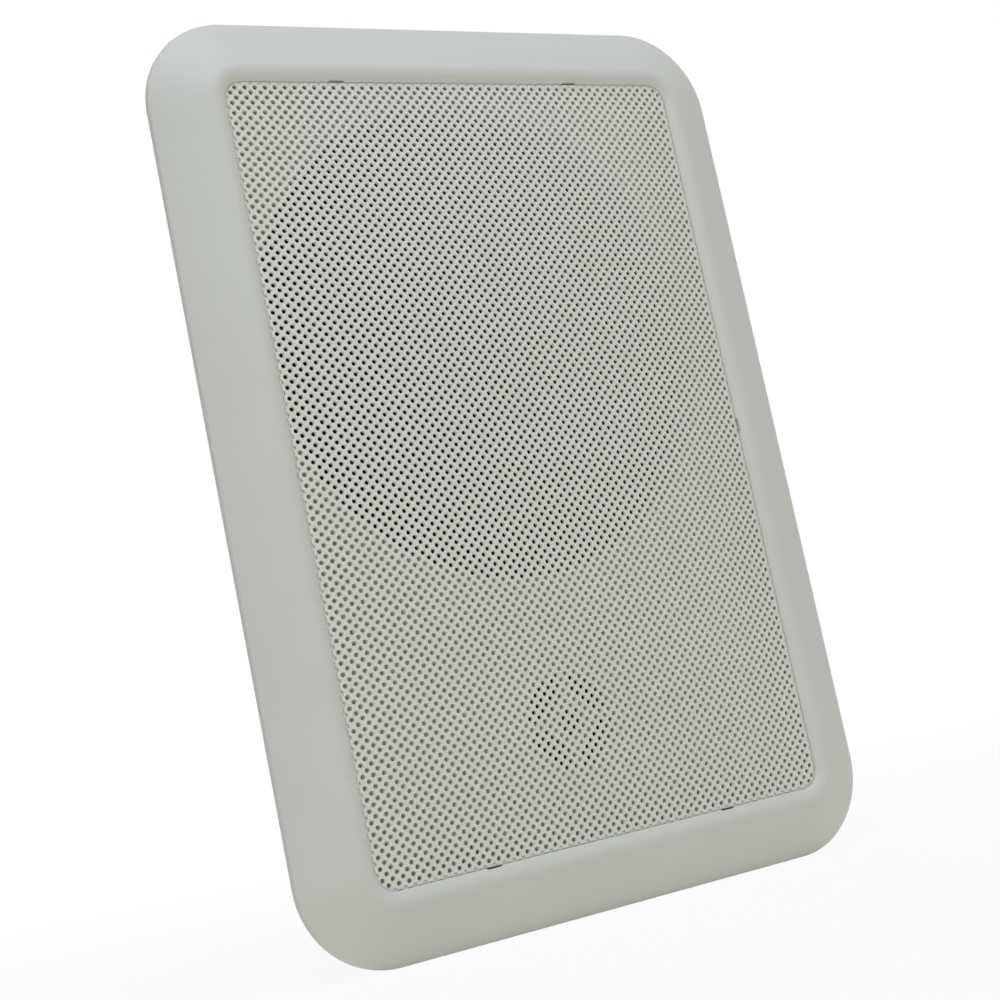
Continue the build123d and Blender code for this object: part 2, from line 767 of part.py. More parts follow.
with BuildPart() as woofer_screws:
    with BuildSketch(front_plane(flange_front)):
        with Locations((0, woofer_z)):
            with PolarLocations(woofer_screw_circle, woofer_screw_count, woofer_screw_turn):
                Circle(woofer_screw_radius)
    extrude(amount=-woofer_screw_length)
    with BuildSketch(front_plane(flange_front)):
        with Locations((0, woofer_z)):
            with PolarLocations(woofer_screw_circle, woofer_screw_count, woofer_screw_turn):
                Circle(head_ratio * woofer_screw_radius)
    extrude(amount=head_height)
woofer_screws.part.label = "woofer_screws"
export_step(woofer_screws.part, "parts/woofer_screws.step")

# Tweeter: housing screwed to the pad, dome clamped between its step and the magnet pot
with BuildPart() as tweeter_housing:
    with BuildSketch(Plane.XY.offset(tweeter_z)):
        with BuildLine():
            Polyline(
                (tweeter_mouth_radius + tweeter_flare, tweeter_seat),
                (tweeter_flange_radius, tweeter_seat),
                (tweeter_flange_radius, tweeter_flange_rear),
                (tweeter_body_radius, tweeter_flange_rear),
                (tweeter_body_radius, tweeter_pot_front + tweeter_grip),
                (tweeter_edge_radius + pot_fit, tweeter_pot_front + tweeter_grip),
                (tweeter_edge_radius + pot_fit, tweeter_step),
                (tweeter_mouth_radius, tweeter_step),
                close=True,
            )
        make_face()
    revolve(axis=tweeter_axis)
    with BuildSketch(front_plane(tweeter_seat)):
        with Locations((0, tweeter_z)):
            with PolarLocations(tweeter_screw_circle, tweeter_screw_count, tweeter_screw_turn):
                Circle(tweeter_screw_radius + hole_play)
    extrude(amount=-tweeter_flange_thickness, mode=Mode.SUBTRACT)
tweeter_housing.part.label = "tweeter_housing"
export_step(tweeter_housing.part, "parts/tweeter_housing.step")

with BuildPart() as tweeter_dome:
    with BuildSketch(Plane.XY.offset(tweeter_z)):
        with BuildLine():
            ThreePointArc(*dome_points(tweeter_dome_radius, tweeter_dome_crown, tweeter_step))
            Polyline(
                (tweeter_dome_radius, tweeter_step),
                (tweeter_edge_radius, tweeter_step),
                (tweeter_edge_radius, tweeter_pot_front),
                (tweeter_dome_radius, tweeter_pot_front),
            )
            ThreePointArc(*dome_points(tweeter_dome_radius, tweeter_dome_crown, tweeter_pot_front))
            Line((0, tweeter_pot_front - tweeter_dome_crown), (0, tweeter_step - tweeter_dome_crown))
        make_face()
    revolve(axis=tweeter_axis)
tweeter_dome.part.label = "tweeter_dome"
export_step(tweeter_dome.part, "parts/tweeter_dome.step")

with BuildPart() as tweeter_voice_coil:
    with BuildSketch(front_plane(tweeter_pot_front)):
        with Locations((0, tweeter_z)):
            Circle(tweeter_dome_radius + tweeter_coil_wall)
            Circle(tweeter_dome_radius, mode=Mode.SUBTRACT)
    extrude(amount=tweeter_gap_floor - tweeter_gap_depth)
tweeter_voice_coil.part.label = "tweeter_voice_coil"
export_step(tweeter_voice_coil.part, "parts/tweeter_voice_coil.step")

with BuildPart() as tweeter_pot:
    with BuildSketch(front_plane(tweeter_pot_front)):
        with Locations((0, tweeter_z)):
            Circle(tweeter_edge_radius)
    extrude(amount=-tweeter_pot_length)
    with BuildSketch(front_plane(tweeter_pot_front)):
        with Locations((0, tweeter_z)):
            Circle(tweeter_dome_radius + tweeter_coil_wall + coil_gap)
            Circle(tweeter_dome_radius - coil_gap, mode=Mode.SUBTRACT)
    extrude(amount=-tweeter_gap_depth, mode=Mode.SUBTRACT)
tweeter_pot.part.label = "tweeter_pot"
export_step(tweeter_pot.part, "parts/tweeter_pot.step")

with BuildPart() as tweeter_tag_strip:
    with BuildSketch(front_plane(tweeter_pot_rear)):
        with Locations((0, tweeter_z)):
            Rectangle(2 * tag_spacing, tag_strip_width / 3)
    extrude(amount=-tag_strip_thickness)
tweeter_tag_strip.part.label = "tweeter_tag_strip"
export_step(tweeter_tag_strip.part, "parts/tweeter_tag_strip.step")

with BuildPart() as tweeter_tags:
    with BuildSketch(front_plane(tweeter_pot_rear + tag_strip_thickness)):
        with Locations((0, tweeter_z)):
            with GridLocations(tag_spacing + tag_length, 0, 2, 1):
                Rectangle(tag_length, tag_width)
    extrude(amount=-tag_thickness)
tweeter_tags.part.label = "tweeter_tags"
export_step(tweeter_tags.part, "parts/tweeter_tags.step")

with BuildPart() as tweeter_screws:
    with BuildSketch(front_plane(tweeter_flange_rear)):
        with Locations((0, tweeter_z)):
            with PolarLocations(tweeter_screw_circle, tweeter_screw_count, tweeter_screw_turn):
                Circle(tweeter_screw_radius)
    extrude(amount=tweeter_screw_length)
    with BuildSketch(front_plane(tweeter_flange_rear)):
        with Locations((0, tweeter_z)):
            with PolarLocations(tweeter_screw_circle, tweeter_screw_count, tweeter_screw_turn):
                Circle(head_ratio * tweeter_screw_radius)
    extrude(amount=-head_height)
tweeter_screws.part.label = "tweeter_screws"
export_step(tweeter_screws.part, "parts/tweeter_screws.step")

# Crossover: board on four posts, with a coil, a capacitor and a resistor
with BuildPart() as crossover_board:
    with BuildSketch(front_plane(board_front)):
        with Locations((board_x, board_z)):
            Rectangle(board_width, board_height)
            with GridLocations(board_width - 2 * board_hole_inset, board_height - 2 * board_hole_inset, 2, 2):
                Circle(board_screw_radius + hole_play, mode=Mode.SUBTRACT)
    extrude(amount=-board_thickness)
crossover_board.part.label = "crossover_board"
export_step(crossover_board.part, "parts/crossover_board.step")

with BuildPart() as inductor_bobbin:
    with BuildSketch(front_plane(board_rear)):
        with Locations((inductor_x, inductor_z)):
            Circle(inductor_radius)
    extrude(amount=-inductor_flange)
    with BuildSketch(front_plane(board_rear)):
        with Locations((inductor_x, inductor_z)):
            Circle(inductor_core_radius)
    extrude(amount=-inductor_height)
    with BuildSketch(front_plane(board_rear + inductor_height)):
        with Locations((inductor_x, inductor_z)):
            Circle(inductor_radius)
    extrude(amount=inductor_flange)
    with BuildSketch(front_plane(board_rear)):
        with Locations((inductor_x, inductor_z)):
            Circle(inductor_bore_radius)
    extrude(amount=-inductor_height, mode=Mode.SUBTRACT)
inductor_bobbin.part.label = "inductor_bobbin"
export_step(inductor_bobbin.part, "parts/inductor_bobbin.step")

with BuildPart() as inductor_winding:
    with BuildSketch(front_plane(board_rear + inductor_flange + glue_gap)):
        with Locations((inductor_x, inductor_z)):
            Circle(inductor_radius - hole_play)
            Circle(inductor_core_radius + glue_gap, mode=Mode.SUBTRACT)
    extrude(amount=2 * (inductor_flange + glue_gap) - inductor_height)
inductor_winding.part.label = "inductor_winding"
export_step(inductor_winding.part, "parts/inductor_winding.step")

with BuildPart() as capacitor:
    with BuildSketch(Plane.YZ.offset(board_x)):
        with Locations((board_rear + capacitor_radius, capacitor_z)):
            Circle(capacitor_radius)
    extrude(amount=capacitor_length / 2, both=True)
capacitor.part.label = "capacitor"
export_step(capacitor.part, "parts/capacitor.step")

with BuildPart() as resistor:
    with BuildSketch(front_plane(board_rear)):
        with Locations((resistor_x, resistor_z)):
            Rectangle(resistor_side, resistor_length)
    extrude(amount=-resistor_side)
resistor.part.label = "resistor"
export_step(resistor.part, "parts/resistor.step")

with BuildPart() as board_screws:
    with BuildSketch(front_plane(board_rear)):
        with Locations((board_x, board_z)):
            with GridLocations(board_width - 2 * board_hole_inset, board_height - 2 * board_hole_inset, 2, 2):
                Circle(board_screw_radius)
    extrude(amount=board_screw_length)
    with BuildSketch(front_plane(board_rear)):
        with Locations((board_x, board_z)):
            with GridLocations(board_width - 2 * board_hole_inset, board_height - 2 * board_hole_inset, 2, 2):
                Circle(head_ratio * board_screw_radius)
    extrude(amount=-head_height)
board_screws.part.label = "board_screws"
export_step(board_screws.part, "parts/board_screws.step")

# Terminals: a block with two pockets, and a lever hung by its pin in each
with BuildPart() as terminal_block:
    with BuildSketch(front_plane(baffle_rear)):
        with Locations((terminal_x, terminal_z)):
            Rectangle(terminal_width, terminal_height)
    extrude(amount=-terminal_thickness)
    with BuildSketch(front_plane(baffle_rear)):
        with Locations((terminal_x, terminal_z)):
            Rectangle(terminal_ear_width, terminal_height + 2 * terminal_ear)
            with GridLocations(0, terminal_height + terminal_ear, 1, 2):
                Circle(terminal_screw_radius + hole_play, mode=Mode.SUBTRACT)
    extrude(amount=-terminal_ear_thickness)
    with BuildSketch(front_plane(terminal_rear)):
        with Locations((terminal_x, lever_z)):
            with GridLocations(2 * lever_offset, 0, 2, 1):
                Rectangle(lever_width + 2 * lever_play, lever_height + 2 * lever_play)
    extrude(amount=lever_pocket_depth, mode=Mode.SUBTRACT)
    with BuildSketch(Plane.YZ.offset(terminal_x)):
        with Locations((lever_pin_depth, lever_pin_z)):
            Circle(lever_pin_radius + lever_pin_play)
    extrude(amount=lever_pin_span, both=True, mode=Mode.SUBTRACT)
    with BuildSketch(front_plane(terminal_rear)):
        with Locations((terminal_x, wire_hole_z)):
            with GridLocations(2 * lever_offset, 0, 2, 1):
                Circle(wire_hole_radius)
    extrude(amount=wire_hole_depth, mode=Mode.SUBTRACT)
terminal_block.part.label = "terminal_block"
export_step(terminal_block.part, "parts/terminal_block.step")

with BuildPart() as terminal_contacts:
    with BuildSketch(front_plane(baffle_rear + terminal_ear_thickness)):
        with Locations((terminal_x, terminal_z - terminal_height / 2)):
            with GridLocations(2 * lever_offset, 0, 2, 1):
                Rectangle(contact_width, contact_length, align=(Align.CENTER, Align.MAX))
    extrude(amount=-contact_thickness)
terminal_contacts.part.label = "terminal_contacts"
export_step(terminal_contacts.part, "parts/terminal_contacts.step")

for colour, lever_x in (("red", terminal_x - lever_offset), ("black", terminal_x + lever_offset)):
    with BuildPart() as terminal_lever:
        with BuildSketch(front_plane(terminal_rear)):
            with Locations((lever_x, lever_z)):
                Rectangle(lever_width, lever_height)
        extrude(amount=lever_thickness)
        with BuildSketch(front_plane(terminal_rear)):
            with Locations((lever_x, lever_z - lever_height / 2 + lever_ridge_inset)):
                Rectangle(lever_width, lever_ridge_height, align=(Align.CENTER, Align.MIN))
        extrude(amount=-lever_ridge_rise)
        with BuildSketch(Plane.YZ.offset(lever_x)):
            with Locations((lever_pin_depth, lever_pin_z)):
                Circle(lever_pin_radius)
        extrude(amount=lever_width / 2 + lever_play + lever_pin_reach, both=True)
    terminal_lever.part.label = f"terminal_lever_{colour}"
    export_step(terminal_lever.part, f"parts/terminal_lever_{colour}.step")

with BuildPart() as terminal_screws:
    with BuildSketch(front_plane(baffle_rear + terminal_ear_thickness)):
        with Locations((terminal_x, terminal_z)):
            with GridLocations(0, terminal_height + terminal_ear, 1, 2):
                Circle(terminal_screw_radius)
    extrude(amount=terminal_screw_length)
    with BuildSketch(front_plane(baffle_rear + terminal_ear_thickness)):
        with Locations((terminal_x, terminal_z)):
            with GridLocations(0, terminal_height + terminal_ear, 1, 2):
                Circle(head_ratio * terminal_screw_radius)
    extrude(amount=-head_height)
terminal_screws.part.label = "terminal_screws"
export_step(terminal_screws.part, "parts/terminal_screws.step")

# Wall clamps: a captive screw and an arm that rides on it, at each of the six places
for name, place in clamps.items():
    with BuildPart() as clamp_screw:
        with BuildSketch(clamp_plane(place, baffle_depth)):
            Circle(clamp_screw_radius)
        extrude(amount=baffle_depth - screw_tip_depth)
        with BuildSketch(clamp_plane(place, baffle_depth)):
            Circle(clamp_head_radius)
        extrude(amount=clamp_head_height)
        with BuildSketch(clamp_plane(place, baffle_depth - clamp_head_height)):
            Rectangle(drive_length, drive_width)
            Rectangle(drive_width, drive_length)
        extrude(amount=-drive_depth, mode=Mode.SUBTRACT)
    clamp_screw.part.label = f"clamp_screw_{name}"
    export_step(clamp_screw.part, f"parts/clamp_screw_{name}.step")

    with BuildPart() as clamp_arm:
        with BuildSketch(clamp_plane(place, arm_front)):
            Circle(arm_hub_radius)
            with Locations((-arm_hub_radius, 0)):
                Rectangle(arm_hub_radius + grip_outer, arm_length, align=(Align.MIN, Align.MIN))
        extrude(amount=-arm_thickness)
        with BuildSketch(clamp_plane(place, arm_front)):
            with Locations((grip_inner, 0)):
                Rectangle(arm_grip_width, arm_length, align=(Align.MIN, Align.MIN))
        extrude(amount=arm_grip_reach)
        with BuildSketch(clamp_plane(place, arm_front)):
            Circle(clamp_screw_radius + clamp_screw_play)
        extrude(amount=-arm_thickness, mode=Mode.SUBTRACT)
    clamp_arm.part.label = f"clamp_arm_{name}"
    export_step(clamp_arm.part, f"parts/clamp_arm_{name}.step")
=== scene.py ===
import math

import bmesh
import bpy
import numpy as np
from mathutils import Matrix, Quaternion, Vector


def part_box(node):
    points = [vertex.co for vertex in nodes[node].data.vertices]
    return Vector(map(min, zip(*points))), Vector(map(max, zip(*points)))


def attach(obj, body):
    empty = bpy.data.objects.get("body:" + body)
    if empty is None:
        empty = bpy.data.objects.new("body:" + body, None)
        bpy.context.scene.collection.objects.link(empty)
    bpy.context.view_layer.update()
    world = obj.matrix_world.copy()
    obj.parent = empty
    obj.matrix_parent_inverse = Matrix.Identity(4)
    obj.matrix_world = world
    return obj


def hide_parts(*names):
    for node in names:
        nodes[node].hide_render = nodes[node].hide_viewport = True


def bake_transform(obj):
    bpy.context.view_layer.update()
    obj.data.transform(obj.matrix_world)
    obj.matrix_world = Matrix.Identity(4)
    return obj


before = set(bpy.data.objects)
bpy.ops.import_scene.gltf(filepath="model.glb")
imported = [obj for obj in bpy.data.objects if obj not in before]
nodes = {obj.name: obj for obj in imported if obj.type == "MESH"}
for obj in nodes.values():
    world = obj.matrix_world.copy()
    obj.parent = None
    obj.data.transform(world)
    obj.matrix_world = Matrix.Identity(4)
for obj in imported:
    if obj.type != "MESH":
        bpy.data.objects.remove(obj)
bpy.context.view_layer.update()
scene = bpy.context.scene
scene.view_settings.view_transform = "Standard"
mm = 0.001
white = (1, 1, 1, 1)
print("frame loaded:", len(nodes), "nodes")

# Camera: low on the left, looking a little up, with the speaker leaning in the picture
viewpoint = {
    "lens": 63.095,
    "sensor": 36.0,
    "nearest": 10.0,
    "aim": (-17.13, -9.9, -15.83),
    "distance": 580.42,
    "azimuth": 30.487,
    "elevation": 7.458,
    "roll": -11.732,
}
azimuth = math.radians(viewpoint["azimuth"])
elevation = math.radians(viewpoint["elevation"])
sight = Vector((
    math.sin(azimuth) * math.cos(elevation),
    math.cos(azimuth) * math.cos(elevation),
    math.sin(elevation),
))
lensData = bpy.data.cameras.new("photoCamera")
lensData.lens = viewpoint["lens"]
lensData.sensor_width = viewpoint["sensor"]
lensData.clip_start = viewpoint["nearest"] * mm
photoCamera = bpy.data.objects.new("photoCamera", lensData)
photoCamera.location = (Vector(viewpoint["aim"]) - sight * viewpoint["distance"]) * mm
photoCamera.rotation_mode = "QUATERNION"
lean = Quaternion((0, 0, 1), math.radians(viewpoint["roll"]))
photoCamera.rotation_quaternion = sight.to_track_quat("-Z", "Y") @ lean
scene.collection.objects.link(photoCamera)
scene.camera = photoCamera
print("camera placed")


def srgb(code):
    parts = [int(code[i:i + 2], 16) / 255 for i in (1, 3, 5)]
    return [p / 12.92 if p <= 0.04045 else ((p + 0.055) / 1.055) ** 2.4 for p in parts] + [1.0]


# A setting is a link from another node, a property of the node or a value of one of its inputs
def addNode(tree, kind, settings=None):
    node = tree.nodes.new(kind)
    for key, value in (settings or {}).items():
        if isinstance(value, bpy.types.NodeSocket):
            tree.links.new(value, node.inputs[key])
        elif isinstance(key, str) and hasattr(node, key):
            setattr(node, key, value)
        else:
            node.inputs[key].default_value = value
    return node


def addMath(tree, operation, *terms):
    return addNode(tree, "ShaderNodeMath", {"operation": operation, **dict(enumerate(terms))}).outputs["Value"]


def emptyTree(owner):
    owner.use_nodes = True
    owner.node_tree.nodes.clear()
    return owner.node_tree


def startMaterial(recipe):
    material = bpy.data.materials.new(recipe["name"])
    tree = emptyTree(material)
    shader = addNode(tree, "ShaderNodeBsdfPrincipled", recipe["sockets"])
    addNode(tree, "ShaderNodeOutputMaterial", {"Surface": shader.outputs["BSDF"]})
    coords = addNode(tree, "ShaderNodeTexCoord").outputs["Object"]
    return material, tree, shader, coords


noiseDetail = {"mottle": 3.0, "grain": 2.0, "marks": 4.0, "cloud": 2.0}


def addNoise(tree, vector, kind, size):
    settings = {"Scale": 1 / (size * mm), "Detail": noiseDetail[kind], "Vector": vector}
    return addNode(tree, "ShaderNodeTexNoise", settings).outputs["Fac"]


# The wave texture runs through this many radians in a length of one over its scale
wavePhase = 20


def addWave(tree, vector, direction, spacing, waver):
    return addNode(tree, "ShaderNodeTexWave", {
        "bands_direction": direction, "Scale": math.tau / (wavePhase * spacing * mm), "Distortion": waver,
        "Vector": vector,
    }).outputs["Fac"]


def mixTint(tree, first, second, share):
    settings = {"Color1": srgb(first), "Color2": srgb(second), "Fac": share}
    return addNode(tree, "ShaderNodeMixRGB", settings).outputs["Color"]


def dressShader(tree, shader, recipe, tint, height, gloss=None):
    relief = addNode(
        tree, "ShaderNodeBump", {"Strength": recipe["relief"], "Distance": recipe["depth"] * mm, "Height": height}
    )
    tree.links.new(tint, shader.inputs["Base Color"])
    tree.links.new(relief.outputs["Normal"], shader.inputs["Normal"])
    if gloss is not None:
        smooth, dull = recipe["rough"]
        shine = addNode(tree, "ShaderNodeMapRange", {"To Min": smooth, "To Max": dull, "Value": gloss})
        tree.links.new(shine.outputs["Result"], shader.inputs["Roughness"])


# One inside the pocket's outline and depth, nought elsewhere: where the painted light goes
def paintedLightShare(tree, coords, pocket):
    halfWidth, halfHeight = pocket["half"]
    middle = (pocket["front"] + pocket["depth"] / 2) * mm
    away = addNode(tree, "ShaderNodeVectorMath", {"operation": "ABSOLUTE", 0: coords})
    share = addNode(tree, "ShaderNodeVectorMath", {
        "operation": "DIVIDE", 0: away.outputs["Vector"], 1: (halfWidth * mm, 1.0, halfHeight * mm),
    })
    sides = addNode(tree, "ShaderNodeSeparateXYZ", {"Vector": share.outputs["Vector"]}).outputs
    place = addNode(tree, "ShaderNodeSeparateXYZ", {"Vector": coords}).outputs
    within = addMath(tree, "LESS_THAN", addMath(tree, "MAXIMUM", sides["X"], sides["Z"]), 1.0)
    behind = addMath(tree, "COMPARE", place["Y"], middle, pocket["depth"] / 2 * mm)
    return addMath(tree, "MULTIPLY", within, behind)


# Moulded or sprayed surface: slow mottling in the colour, a fine dry grain in the relief
def grainedFinish(recipe):
    material, tree, shader, coords = startMaterial(recipe)
    mottle = addNoise(tree, coords, "mottle", recipe["mottle"])
    tint = mixTint(tree, recipe["dark"], recipe["light"], mottle)
    # Painted light: inside the pocket behind the grille the colour turns whiter to brighten the holes
    if "pocket" in recipe:
        tint = addNode(tree, "ShaderNodeMixRGB", {
            "Color1": tint, "Color2": srgb(recipe["pocket"]["paintedLight"]),
            "Fac": paintedLightShare(tree, coords, recipe["pocket"]),
        }).outputs["Color"]
    grain = addNoise(tree, coords, "grain", recipe["grain"])
    dressShader(tree, shader, recipe, tint, grain, grain)
    return material


# Filled or pressed stuff: flecks of a second colour that also stand out in the relief
cloudPerFleck = 6


def fleckedFinish(recipe):
    material, tree, shader, coords = startMaterial(recipe)
    stretch = addNode(tree, "ShaderNodeMapping", {"Scale": recipe["stretch"], "Vector": coords})
    cells = addNode(
        tree, "ShaderNodeTexVoronoi", {"Scale": 1 / (recipe["fleck"] * mm), "Vector": stretch.outputs["Vector"]}
    )
    inner, outer = recipe["edge"]
    amount = addNode(tree, "ShaderNodeMapRange", {
        "Value": cells.outputs["Distance"], "From Min": inner, "From Max": outer, "To Min": 1.0, "To Max": 0.0,
    })
    cloud = addNoise(tree, coords, "cloud", cloudPerFleck * recipe["fleck"])
    share = addMath(tree, "MULTIPLY", amount.outputs["Result"], cloud)
    tint = mixTint(tree, recipe["ground"], recipe["flecks"], share)
    dressShader(tree, shader, recipe, tint, share, cloud)
    return material


# Bare or plated metal: tool marks run one way in the roughness, slow clouds in the colour
def metalFinish(recipe):
    material, tree, shader, coords = startMaterial(recipe)
    stretch = addNode(tree, "ShaderNodeMapping", {"Scale": recipe["stretch"], "Vector": coords})
    marks = addNoise(tree, stretch.outputs["Vector"], "marks", recipe["marks"])
    cloud = addNoise(tree, coords, "cloud", recipe["cloud"])
    tint = mixTint(tree, recipe["dark"], recipe["light"], cloud)
    dressShader(tree, shader, recipe, tint, marks, marks)
    return material


# Ridges side by side along the depth: turns of wire, smoother on their tops, painted darker in the grooves and
# lighter on the tops (painted shade and painted highlight)
def ridgedFinish(recipe):
    material, tree, shader, coords = startMaterial(recipe)
    turnsAndPaintedShade = addWave(tree, coords, "Y", recipe["spacing"], recipe["waver"])
    # Painted shade in the grooves and painted highlight on the tops of the turns
    tint = mixTint(tree, recipe["dark"], recipe["light"], turnsAndPaintedShade)
    dressShader(tree, shader, recipe, tint, turnsAndPaintedShade, turnsAndPaintedShade)
    return material


# Cloth: two sets of threads across each other on the front plane
def wovenFinish(recipe):
    material, tree, shader, coords = startMaterial(recipe)
    warp = addWave(tree, coords, "X", recipe["thread"], recipe["waver"])
    weft = addWave(tree, coords, "Z", recipe["thread"], recipe["waver"])
    weave = addMath(tree, "MULTIPLY", warp, weft)
    cloud = addNoise(tree, coords, "cloud", recipe["cloud"])
    share = addMath(tree, "MULTIPLY_ADD", weave, recipe["contrast"], cloud)
    tint = mixTint(tree, recipe["dark"], recipe["light"], share)
    dressShader(tree, shader, recipe, tint, weave)
    return material


finishes = {}

# Moulded ABS from a spark-eroded tool: matt off-white, soft highlights, a grain coarse enough to show.
# Behind the grille the moulding is painted whiter: painted light that brightens the holes from inside
finishes["frame_plastic"] = grainedFinish({
    "name": "mouldedAbs", "dark": "#d9d8ce", "light": "#dfded5", "mottle": 30.0, "grain": 0.5,
    "rough": (0.46, 0.58), "relief": 0.25, "depth": 0.03, "sockets": {"IOR": 1.54},
    "pocket": {"half": (87.1, 131.3), "front": -9.4, "depth": 12.6, "paintedLight": "#fbf5e9"},
})

# Powder coat on steel: same off-white a little cooler, satin, with a faint orange peel
finishes["grille_paint"] = grainedFinish({
    "name": "powderCoatedSteel", "dark": "#e3e3d6", "light": "#e9e8dd", "mottle": 24.0, "grain": 0.9,
    "rough": (0.42, 0.52), "relief": 0.2, "depth": 0.02, "sockets": {"IOR": 1.5},
})

# Stoved black enamel on pressed steel: satin black with broad soft reflections
finishes["basket_paint"] = grainedFinish({
    "name": "stovedBlackEnamel", "dark": "#171718", "light": "#202022", "mottle": 18.0, "grain": 1.1,
    "rough": (0.36, 0.48), "relief": 0.3, "depth": 0.03, "sockets": {"IOR": 1.5},
})

# Closed-cell foam ring: dead matt dark grey with open pores on its cut face, sunk in the relief and painted darker
# (painted shade in the pores)
finishes["gasket_foam"] = fleckedFinish({
    "name": "closedCellFoam", "ground": "#2c2c2c", "flecks": "#151516", "fleck": 0.7, "edge": (0.05, 0.45),
    "stretch": (1, 1, 1), "rough": (0.85, 0.95), "relief": 0.6, "depth": -0.12, "sockets": {"IOR": 1.45},
})

# Butyl rubber: deep black with a greasy low sheen
finishes["surround_rubber"] = grainedFinish({
    "name": "butylRubber", "dark": "#201f1f", "light": "#2b2a29", "mottle": 9.0, "grain": 0.6,
    "rough": (0.5, 0.66), "relief": 0.2, "depth": 0.03,
    "sockets": {"IOR": 1.52, "Sheen Weight": 0.15, "Sheen Roughness": 0.5},
})

# Mica-filled polypropylene: charcoal cone with small bright flakes and a waxy gloss
finishes["cone_plastic"] = fleckedFinish({
    "name": "micaPolypropylene", "ground": "#313030", "flecks": "#67676b", "fleck": 1.2, "edge": (0.02, 0.22),
    "stretch": (1, 1, 1), "rough": (0.34, 0.46), "relief": 0.1, "depth": 0.02, "sockets": {"IOR": 1.49},
})

# Rolled aluminium foil: pale grey with rolling lines round the tube
finishes["former_aluminium"] = metalFinish({
    "name": "rolledAluminium", "dark": "#b9babc", "light": "#cbccce", "cloud": 12.0, "marks": 0.8,
    "stretch": (0.1, 1, 0.1), "rough": (0.24, 0.4), "relief": 0.1, "depth": 0.01, "sockets": {"Metallic": 1.0},
})

# Enamelled copper wire: orange-brown turns under clear lacquer, with painted shade in the grooves between turns and
# a painted highlight along each ridge
finishes["copper_wire"] = ridgedFinish({
    "name": "enamelledCopper", "dark": "#7c3a1c", "light": "#d0793f", "spacing": 0.6, "waver": 0.25,
    "rough": (0.36, 0.2), "relief": 0.9, "depth": 0.15,
    "sockets": {"Metallic": 1.0, "Coat Weight": 0.5, "Coat Roughness": 0.15},
})

# Cotton cloth stiffened with resin: amber, open weave, cloudy where resin pooled
finishes["spider_cloth"] = wovenFinish({
    "name": "resinCotton", "dark": "#7d5522", "light": "#c8954c", "thread": 0.9, "waver": 0.6, "contrast": 0.6,
    "cloud": 8.0, "relief": 0.6, "depth": 0.12, "sockets": {"IOR": 1.5, "Roughness": 0.62},
})

# Zinc on turned steel: cool grey with turning marks and cloudy passivation
finishes["plated_steel"] = metalFinish({
    "name": "zincPlatedSteel", "dark": "#9c9e9f", "light": "#b9bbbb", "cloud": 14.0, "marks": 0.9,
    "stretch": (1, 0.15, 1), "rough": (0.3, 0.46), "relief": 0.15, "depth": 0.02, "sockets": {"Metallic": 1.0},
})

# Sintered ferrite: dark grey stone with pits sunk in the relief and painted darker (painted shade in the pits)
finishes["ferrite"] = fleckedFinish({
    "name": "sinteredFerrite", "ground": "#38383b", "flecks": "#222224", "fleck": 1.6, "edge": (0.05, 0.4),
    "stretch": (1, 1, 1), "rough": (0.5, 0.68), "relief": 0.25, "depth": -0.06, "sockets": {"IOR": 2.2},
})

# Phenolic fibre strip: reddish brown board with short paper fibres along it
finishes["fibre_strip"] = fleckedFinish({
    "name": "phenolicFibre", "ground": "#6e4327", "flecks": "#8d5f3c", "fleck": 0.8, "edge": (0.05, 0.4),
    "stretch": (0.3, 1, 1), "rough": (0.5, 0.62), "relief": 0.15, "depth": 0.03, "sockets": {"IOR": 1.55},
})

# Tin over brass: soft pale metal, slightly dulled by handling
finishes["tinned_brass"] = metalFinish({
    "name": "tinnedBrass", "dark": "#bdb9aa", "light": "#d6d3c8", "cloud": 5.0, "marks": 0.5,
    "stretch": (1, 1, 0.2), "rough": (0.28, 0.42), "relief": 0.15, "depth": 0.015, "sockets": {"Metallic": 1.0},
})

# Black zinc on a screw: dark metal that still shows tight highlights on its edges
finishes["black_screw"] = metalFinish({
    "name": "blackZinc", "dark": "#1b1c1e", "light": "#2b2c2f", "cloud": 3.0, "marks": 0.5,
    "stretch": (1, 1, 1), "rough": (0.34, 0.48), "relief": 0.15, "depth": 0.015, "sockets": {"Metallic": 1.0},
})

# Bright zinc on a screw: silvery with fine heading marks
finishes["zinc_screw"] = metalFinish({
    "name": "brightZinc", "dark": "#b4b6b3", "light": "#d2d4d1", "cloud": 4.0, "marks": 0.5,
    "stretch": (1, 1, 1), "rough": (0.22, 0.36), "relief": 0.12, "depth": 0.015, "sockets": {"Metallic": 1.0},
})

# Moulded black ABS: matt and grained, with a slow grey mottling
finishes["black_plastic"] = grainedFinish({
    "name": "blackAbs", "dark": "#191a1b", "light": "#242527", "mottle": 12.0, "grain": 0.5,
    "rough": (0.45, 0.58), "relief": 0.25, "depth": 0.03, "sockets": {"IOR": 1.54},
})

# Doped silk: thin dark cloth with the weave just showing through the coating
finishes["dome_silk"] = wovenFinish({
    "name": "dopedSilk", "dark": "#1d1b1b", "light": "#3a3737", "thread": 0.5, "waver": 0.6, "contrast": 0.6,
    "cloud": 6.0, "relief": 0.35, "depth": 0.05, "sockets": {"IOR": 1.5, "Roughness": 0.48},
})

# Paper laminate board: tan with faint fibres, satin resin skin
finishes["board_laminate"] = fleckedFinish({
    "name": "paperLaminate", "ground": "#9a7a48", "flecks": "#b3925c", "fleck": 0.9, "edge": (0.05, 0.45),
    "stretch": (1, 1, 0.25), "rough": (0.42, 0.54), "relief": 0.1, "depth": 0.02, "sockets": {"IOR": 1.55},
})

# Moulded nylon bobbin: black with a slight waxy shine
finishes["bobbin_plastic"] = grainedFinish({
    "name": "blackNylon", "dark": "#1d1d1e", "light": "#29292a", "mottle": 8.0, "grain": 0.7,
    "rough": (0.38, 0.5), "relief": 0.15, "depth": 0.02, "sockets": {"IOR": 1.53},
})

